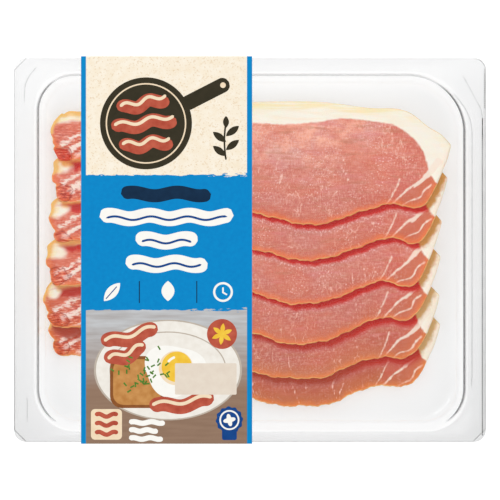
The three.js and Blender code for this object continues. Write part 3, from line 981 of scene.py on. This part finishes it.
# The card band. A printed sleeve of white-backed board, folded flat round the sealed tray: over
# the film, round the flange's two edges and in under the tray, where its ends are glued.

BAND_LOW, BAND_HIGH = (np.array(corner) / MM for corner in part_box("card_band"))
CARD_TOP = BAND_HIGH[2] - 0.14  # the inks lie on it
CARD_THICKNESS = 0.3
FOOT_HALF = 86.4
TUCK_HEIGHT = FLANGE_TOP - 0.6
FOLD_STEPS = 6
FOLD_ROUND, TUCK_ROUND = 0.5, 0.4
FOLD_LEAD = 0.3  # how far before and after a fold a point is set
BEVEL, LEVEL_PART = 0.08, 0.5  # from a cut edge to the faces, and to where they are flat
SIDE_STRIP = 4.9
CREAM_FOOT = 37.5
BLUE_FOOT = -30.0
BLUE = (2, 138, 203)
CREAM = (250, 241, 224)


def folded_loop(corners, radii):
    """A closed path whose corners are arcs that touch both sides, with a point beside each arc.

    An arc's ends lie radius times the tangent of half its turn from the corner.
    """
    corners = np.asarray(corners, dtype=float)
    loop = []
    for before, corner, after, radius in zip(np.roll(corners, 1, 0), corners,
                                             np.roll(corners, -1, 0), radii):
        inward = (before - corner) / np.linalg.norm(before - corner)
        onward = (after - corner) / np.linalg.norm(after - corner)
        half = np.arccos(np.clip(inward @ onward, -1, 1)) / 2
        reach = radius / np.tan(half)
        middle = (inward + onward) / np.linalg.norm(inward + onward)
        centre = corner + middle * radius / np.sin(half)
        start, end = corner + inward * reach, corner + onward * reach
        share = np.linspace(0, 1, FOLD_STEPS)[:, None]
        arc = start + (end - start) * share - centre
        arc = centre + arc / np.linalg.norm(arc, axis=1, keepdims=True) * radius
        loop += [start + inward * FOLD_LEAD, *arc, end + onward * FOLD_LEAD]
    return np.array(loop)


def band_loop(inward):
    """The sleeve's outline seen from its side, a given distance in from its outer face."""
    half, top, foot = BAND_HIGH[1] - inward, CARD_TOP - inward, BAND_LOW[2] + inward
    corners = [(FOOT_HALF, foot), (half, TUCK_HEIGHT), (half, top),
               (-half, top), (-half, TUCK_HEIGHT), (-FOOT_HALF, foot)]
    fold = FOLD_ROUND - inward * 0.8
    return folded_loop(corners, [fold, TUCK_ROUND, fold, fold, TUCK_ROUND, fold])


def satin_print(tree, colour, roughness, fibre, depth):
    """The satin face of printed board, with the faint relief of its fibre."""
    bump = wire(tree, "Bump", {"Strength": depth, "Distance": 0.0001, "Height": fibre})
    finish_material(tree, wire(tree, "BsdfPrincipled", {
        "Base Color": colour, "Roughness": roughness, "Normal": bump.outputs[0],
        "Specular IOR Level": 0.06}))


def card_material():
    """Printed board: speckled cream, blue and a picture field, with brushed ragged borders."""
    material, tree = blank_material("printed_card")
    place = wire(tree, "TexCoord", {}).outputs["Object"]
    millimetres = beside("VectorMath", {0: place, 1: (1 / MM, 1 / MM, 1 / MM)},
                         operation="MULTIPLY").outputs[0]
    x, y, z = wire(tree, "SeparateXYZ", {"Vector": millimetres}).outputs

    def grained(scale, stretch=(1, 1, 1), detail=3.0):
        return noise(millimetres, scale, stretch, detail, 0.5)

    def slope(value, low, high, start=0.0, end=1.0):
        return ramp(value, low, high, start, end, "LINEAR")

    tone = slope(grained(0.25, (1, 1, 1), 4), 0.3, 0.7)
    speck, pale_speck = grained(1.1, (1, 1, 1), 1), grained(1.7, (1, 1, 1), 1)
    cream = layered(
        CREAM,
        (tone, (246, 232, 208)),
        (slope(speck, 0.60, 0.68, 0.0, 0.5), (222, 192, 152)),
        (slope(pale_speck, 0.66, 0.72, 0.0, 0.4), (255, 252, 244)),
    )
    blue = layered(BLUE, (slope(grained(0.5), 0.3, 0.7), (2, 131, 197)))
    wood = slope(grained(0.2, (0.25, 2.2, 1), 4), 0.35, 0.7, 0.0, 0.35)
    picture = layered((196, 198, 200), (slope(y, -38, -70), (150, 122, 102)),
                      (wood, (120, 92, 74)))
    board = layered((226, 220, 210), (tone, (214, 206, 194)))

    # The picture ends at the pack's edge. Round its sides and underside the card is cream.
    brush = times(minus(grained(0.5, (0.5, 2.6, 1), 5), 0.5), 9.0)
    ragged = times(brush, slope(x, -40, -8, 0.22, 1.0))
    on_blue = calc("LESS_THAN", plus(y, ragged), CREAM_FOOT)
    on_picture = calc("LESS_THAN", plus(y, times(ragged, 0.8)), BLUE_FOOT)
    on_sides = plus(calc("LESS_THAN", x, BAND_LOW[0] + SIDE_STRIP * 0.51),
                    calc("GREATER_THAN", x, BAND_HIGH[0] - SIDE_STRIP * 0.53))
    printed = layered(cream, (on_blue, blue), (on_picture, picture))
    colour = layered(cream, (calc("GREATER_THAN", z, TUCK_HEIGHT), printed), (on_sides, blue),
                     (field(tree, "inside"), board))
    satin_print(tree, colour, slope(grained(0.8), 0.3, 0.7, 0.42, 0.55), grained(2.5), 0.15)
    return material


card = card_material()
outer, inner, middle = (band_loop(depth) for depth in (0.0, CARD_THICKNESS, CARD_THICKNESS / 2))
left, right = BAND_LOW[0], BAND_HIGH[0]
# Once round the card's thickness: the place, the loop there, and 1 for the white inside.
sections = [(left, middle, 1), (left + BEVEL, outer, 0), (left + LEVEL_PART, outer, 0),
            (right - LEVEL_PART, outer, 0), (right - BEVEL, outer, 0), (right, middle, 1),
            (right - BEVEL, inner, 1), (left + BEVEL, inner, 1)]
band_points = np.concatenate([np.column_stack([np.full(len(loop), x), loop])
                              for x, loop, _ in sections])
band_index = np.arange(len(band_points)).reshape(len(sections), -1)
band_next = np.roll(band_index, -1, axis=0)
band_faces = np.stack([band_index, np.roll(band_index, -1, axis=1),
                       np.roll(band_next, -1, axis=1), band_next], -1).reshape(-1, 4)
band_inside = np.repeat([flag for _, _, flag in sections], len(outer)).astype(float)
band = build("band_sleeve", band_points, band_faces, card, {"inside": band_inside})
band.visible_shadow = False
band.visible_diffuse = False
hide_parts("card_band")
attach(band, "root")

# The print. Flat inks in a few colours on the band: a pan with rashers, a sprig, wavy rasher
# strips, three small signs, and a breakfast plate with a blank panel and two badges.

INK = 0.02
INK_BED = 0.01  # how far an ink reaches down into the board
ROUND_POINTS, HOOP_POINTS, WAVE_POINTS, LEAF_POINTS, CORNER_POINTS = 40, 64, 48, 16, 6
TIP_SHARE = 0.02  # a strip's end is this share of its width, so that no face is empty


def ink_material(name, colour, variation):
    """A satin ink whose tone wanders a little, on the board's faint fibre."""
    material, tree = blank_material(name)
    cloud = noise(wire(tree, "TexCoord", {}).outputs["Object"], 260.0, detail=4.0, roughness=0.5)
    tone = layered(colour, (ramp(cloud, 0.3, 0.7, curve="LINEAR"), variation))
    satin_print(tree, tone, ramp(cloud, 0.3, 0.7, 0.42, 0.55, "LINEAR"), cloud, 0.1)
    return material


def turned(radius, angles):
    """Points on a circle round nought at the given angles, in radians."""
    return np.stack([radius * np.cos(angles), radius * np.sin(angles)], -1)


def disc(centre, radius, wobble=0.0, lobes=3, squash=1.0):
    """A round shape as an upper and a lower edge, its radius swelling in a few lobes."""
    turn = np.linspace(np.pi, 0, ROUND_POINTS)
    edges = []
    for sign in (1, -1):
        reach = radius * (1 + wobble * np.sin(lobes * turn * sign + 0.7))
        reach[[0, -1]] = radius
        edges.append(np.array(centre) + np.stack([reach * np.cos(turn),
                                                  sign * squash * reach * np.sin(turn)], 1))
    return edges[0], edges[1]


def wave(start, end, width, swing, waves):
    """A strip from start to end that swings from side to side, round at both ends.

    Its middle line is the straight line plus swing times the sine of the distance along it.
    """
    start, end = np.array(start, dtype=float), np.array(end, dtype=float)
    share = np.linspace(0, 1, WAVE_POINTS)
    length = np.linalg.norm(end - start)
    aside = np.array([start[1] - end[1], end[0] - start[0]]) / length
    path = start + (end - start) * share[:, None]
    path = path + aside * (swing * np.sin(2 * np.pi * waves * share))[:, None]
    to_end = np.minimum(share, 1 - share) * length
    narrowing = np.sqrt(np.clip(1 - (1 - np.clip(to_end / (width / 2), 0, 1)) ** 2,
                                TIP_SHARE ** 2, 1))
    return strip(path, width * narrowing)


def leaf(stem, tip, width):
    """A leaf from stem to tip, as wide as the sine of the share of its length."""
    share = np.linspace(0, 1, LEAF_POINTS)
    path = np.array(stem) + (np.array(tip) - np.array(stem)) * share[:, None]
    return strip(path, width * np.maximum(np.sin(np.pi * share) ** 0.8, TIP_SHARE))


def hoop(centre, radius, width):
    """A ring: a strip once round a circle, all but closed."""
    turn = np.linspace(0, 2 * np.pi - 0.001, HOOP_POINTS)
    return strip(np.array(centre) + turned(radius, turn), width)


def block(left, bottom, right, top, corner):
    """A rectangle with round corners, as an upper and a lower edge."""
    turn = np.linspace(0, np.pi / 2, CORNER_POINTS)
    lead = left + corner * (1 - np.cos(turn))
    trail = right - corner * (1 - np.cos(turn[::-1]))
    x = np.concatenate([lead, trail])
    drop = corner * (1 - np.sin(turn))
    drop = np.concatenate([drop, drop[::-1]])
    return np.column_stack([x, top - drop]), np.column_stack([x, bottom + drop])


def waves_at(spots, width, swing, waves, shift=0.0, trim=0.0):
    """One wave for each pair of ends, moved up by a shift and shortened by a trim."""
    return [wave(np.add(start, (trim, shift)), np.add(end, (-trim, shift)), width, swing, waves)
            for start, end in spots]


INK_TONES = {
    "brown": ((50, 46, 32), (58, 52, 38)), "navy": ((14, 40, 66), (20, 48, 76)),
    "white": ((252, 250, 244), (246, 244, 238)), "cream": ((246, 226, 196), (238, 214, 180)),
    "rose": ((196, 96, 74), (172, 72, 54)), "toast": ((206, 150, 88), (184, 124, 64)),
    "crust": ((150, 92, 48), (128, 76, 38)), "yolk": ((246, 206, 74), (238, 188, 56)),
    "green": ((96, 140, 58), (74, 118, 44)), "china": ((244, 240, 232), (234, 228, 218)),
    "shade": ((196, 184, 170), (184, 172, 158)), "blue": ((18, 66, 132), (24, 74, 142)),
    "panel": ((232, 220, 204), (226, 212, 196)),
}
PAN, PAN_RADIUS = (-52.0, 63.3), 23.0
PAN_RASHERS = [((-66, 70), (-41, 76)), ((-69, 60.6), (-37, 65.6)), ((-65, 51), (-39, 54.6))]
SPRIG_X = -12.0
BANNER_X = -41.7
BANNERS = [(16.5, 67.0), (4.8, 31.0), (-6.9, 41.0)]  # height on the band and length
SIGN_Y = -21.0
DIAL_X = -13.5
PLATE, PLATE_SQUASH = np.array((-41.0, -60.0)), 0.68
PLATE_RASHERS = [((-74, -47), (-46, -40)), ((-72, -56), (-52, -49)), ((-50, -79), (-18, -75))]
TOMATO = np.array((-14.0, -42.0))
BAR_LEFT = -60.5
BARS = [(-86.2, 18), (-90.2, 14.5), (-94.2, 17)]
ROSETTE = (-10.3, -85.0)
CHIVE_COUNT, CHIVE_LENGTH, CHIVE_WIDTH = 44, 2.2, 0.8
CHIVE_PLACE, CHIVE_SPREAD = (-50, -62), (9, 5)

chive_draw = np.random.default_rng(5)
chives = []
for _ in range(CHIVE_COUNT):
    spot = chive_draw.normal(CHIVE_PLACE, CHIVE_SPREAD)
    angle = chive_draw.uniform(0, np.pi)
    chives.append(strip([spot, spot + turned(CHIVE_LENGTH, angle)], CHIVE_WIDTH))

# Each part of the print: its name, its ink, how many ink layers thick it is, and its shapes.
PRINT = [
    ("pan", "brown", 1, [disc(PAN, PAN_RADIUS)]),
    ("pan_handle", "brown", 1.3, [wave((-34, 72), (-10.5, 84), 7.5, 0.0, 1)]),
    ("pan_rim", "cream", 2, [hoop(PAN, PAN_RADIUS - 3.2, 0.7), disc((-13.5, 82.4), 1.4)]),
    ("pan_rashers", "rose", 2, waves_at(PAN_RASHERS, 6.6, 1.2, 2)),
    ("pan_fat", "cream", 3, waves_at(PAN_RASHERS, 1.6, 1.2, 2, shift=1.6, trim=1)),
    ("sprig", "brown", 1, [
        wave((SPRIG_X, 45), (SPRIG_X, 64), 0.9, 0.8, 0.5),
        *(leaf((SPRIG_X, height), (SPRIG_X + side * 6.5, height + 5), 3.4)
          for height, side in ((47, -1), (50, 1), (54, -1), (57, 1))),
        leaf((SPRIG_X, 61), (SPRIG_X, 67), 3)]),
    ("navy_wave", "navy", 1, [wave((-64.5, 28), (-19.5, 28), 6.6, 0.9, 2)]),
    ("banners", "white", 1, [
        wave((BANNER_X - size / 2, height), (BANNER_X + size / 2, height), 7.4, 0.9, size / 20)
        for height, size in BANNERS]),
    ("banner_lines", "blue", 2, [
        wave((BANNER_X + 3 - size / 2, height - 0.6), (BANNER_X - 3 + size / 2, height - 0.6),
             1.1, 0.9, size / 20) for height, size in BANNERS]),
    ("sign_rules", "navy", 1, [
        strip([(x, SIGN_Y - 5.5), (x, SIGN_Y + 5.5)], 0.5) for x in (-55.3, -26.6)]),
    ("signs", "white", 1, [
        leaf((-73, SIGN_Y - 4.5), (-65, SIGN_Y + 4.5), 5.5),
        leaf((-41, SIGN_Y + 5.5), (-41, SIGN_Y - 4.5), 6.5),
        hoop((DIAL_X, SIGN_Y), 4.4, 1.1),
        wave((DIAL_X, SIGN_Y + 2.4), (DIAL_X, SIGN_Y - 0.4), 0.8, 0.0, 1),
        wave((DIAL_X - 0.4, SIGN_Y), (DIAL_X + 2.1, SIGN_Y - 1.4), 0.8, 0.0, 1)]),
    ("sign_vein", "blue", 2, [strip([(-72, SIGN_Y - 3.4), (-66.6, SIGN_Y + 2.7)], 0.5)]),
    ("plate_shade", "shade", 0.6, [disc(PLATE, 37, squash=PLATE_SQUASH)]),
    ("plate", "china", 1.1, [disc(PLATE, 36, squash=PLATE_SQUASH)]),
    ("plate_well", "shade", 1.6, [
        strip(PLATE + turned(1, np.linspace(0, 6.28, 60)) * (29, 19), 0.6)]),
    ("crust", "crust", 2.1, [block(-70, -79, -43, -53, 6)]),
    ("toast", "toast", 2.6, [block(-68.4, -77.4, -44.6, -54.6, 5)]),
    ("egg", "white", 3.1, [disc((-38, -60), 15, 0.1, 3, 0.85)]),
    ("egg_shade", "cream", 3.6, [disc((-37, -59), 8.6)]),
    ("yolk", "yolk", 4.1, [disc((-36.6, -58.4), 7.6)]),
    ("glint", "white", 4.6, [wave((-41, -56), (-37.5, -53.5), 1.2, 0.3, 0.5)]),
    ("plate_rashers", "rose", 4.1, waves_at(PLATE_RASHERS, 7.4, 1.3, 1.5)),
    ("plate_fat", "cream", 4.6, waves_at(PLATE_RASHERS, 1.7, 1.3, 1.5, shift=1.4, trim=1)),
    ("tomato", "rose", 3.1, [disc(TOMATO, 7.5)]),
    ("tomato_heart", "yolk", 3.6, [leaf(TOMATO, TOMATO + turned(5.4, angle), 2.2)
                                   for angle in np.arange(0.4, 6.2, 1.05)]),
    ("chives", "green", 5.1, chives),
    ("panel", "panel", 5.6, [block(-37.5, -72.3, -6.7, -56.6, 0.6)]),
    ("left_badge", "cream", 5.6, [block(-79.5, -94.8, -64, -79.5, 2)]),
    ("left_badge_waves", "rose", 5.9, [wave((-77.5, height), (-66, height), 2.2, 0.7, 1.5)
                                       for height in (-82.6, -87.1, -91.6)]),
    ("left_bars", "white", 5.6, [
        wave((BAR_LEFT, height), (BAR_LEFT + size, height), 2.6, 0.4, 2)
        for height, size in BARS]),
    ("rosette", "blue", 5.6, [disc(ROSETTE, 6.6, 0.05, 12), block(-14, -95, -6.6, -85, 1)]),
    ("rosette_ring", "white", 5.9, [hoop(ROSETTE, 4.6, 0.8), disc(ROSETTE, 2.4, 0.3, 4)]),
]

inks = {name: ink_material(f"ink_{name}", *tones) for name, tones in INK_TONES.items()}
for name, colour, layer, shapes in PRINT:
    top = CARD_TOP + INK * layer
    piece = plates(f"print_{name}", shapes, CARD_TOP - INK_BED, top, inks[colour])
    piece.visible_diffuse = False
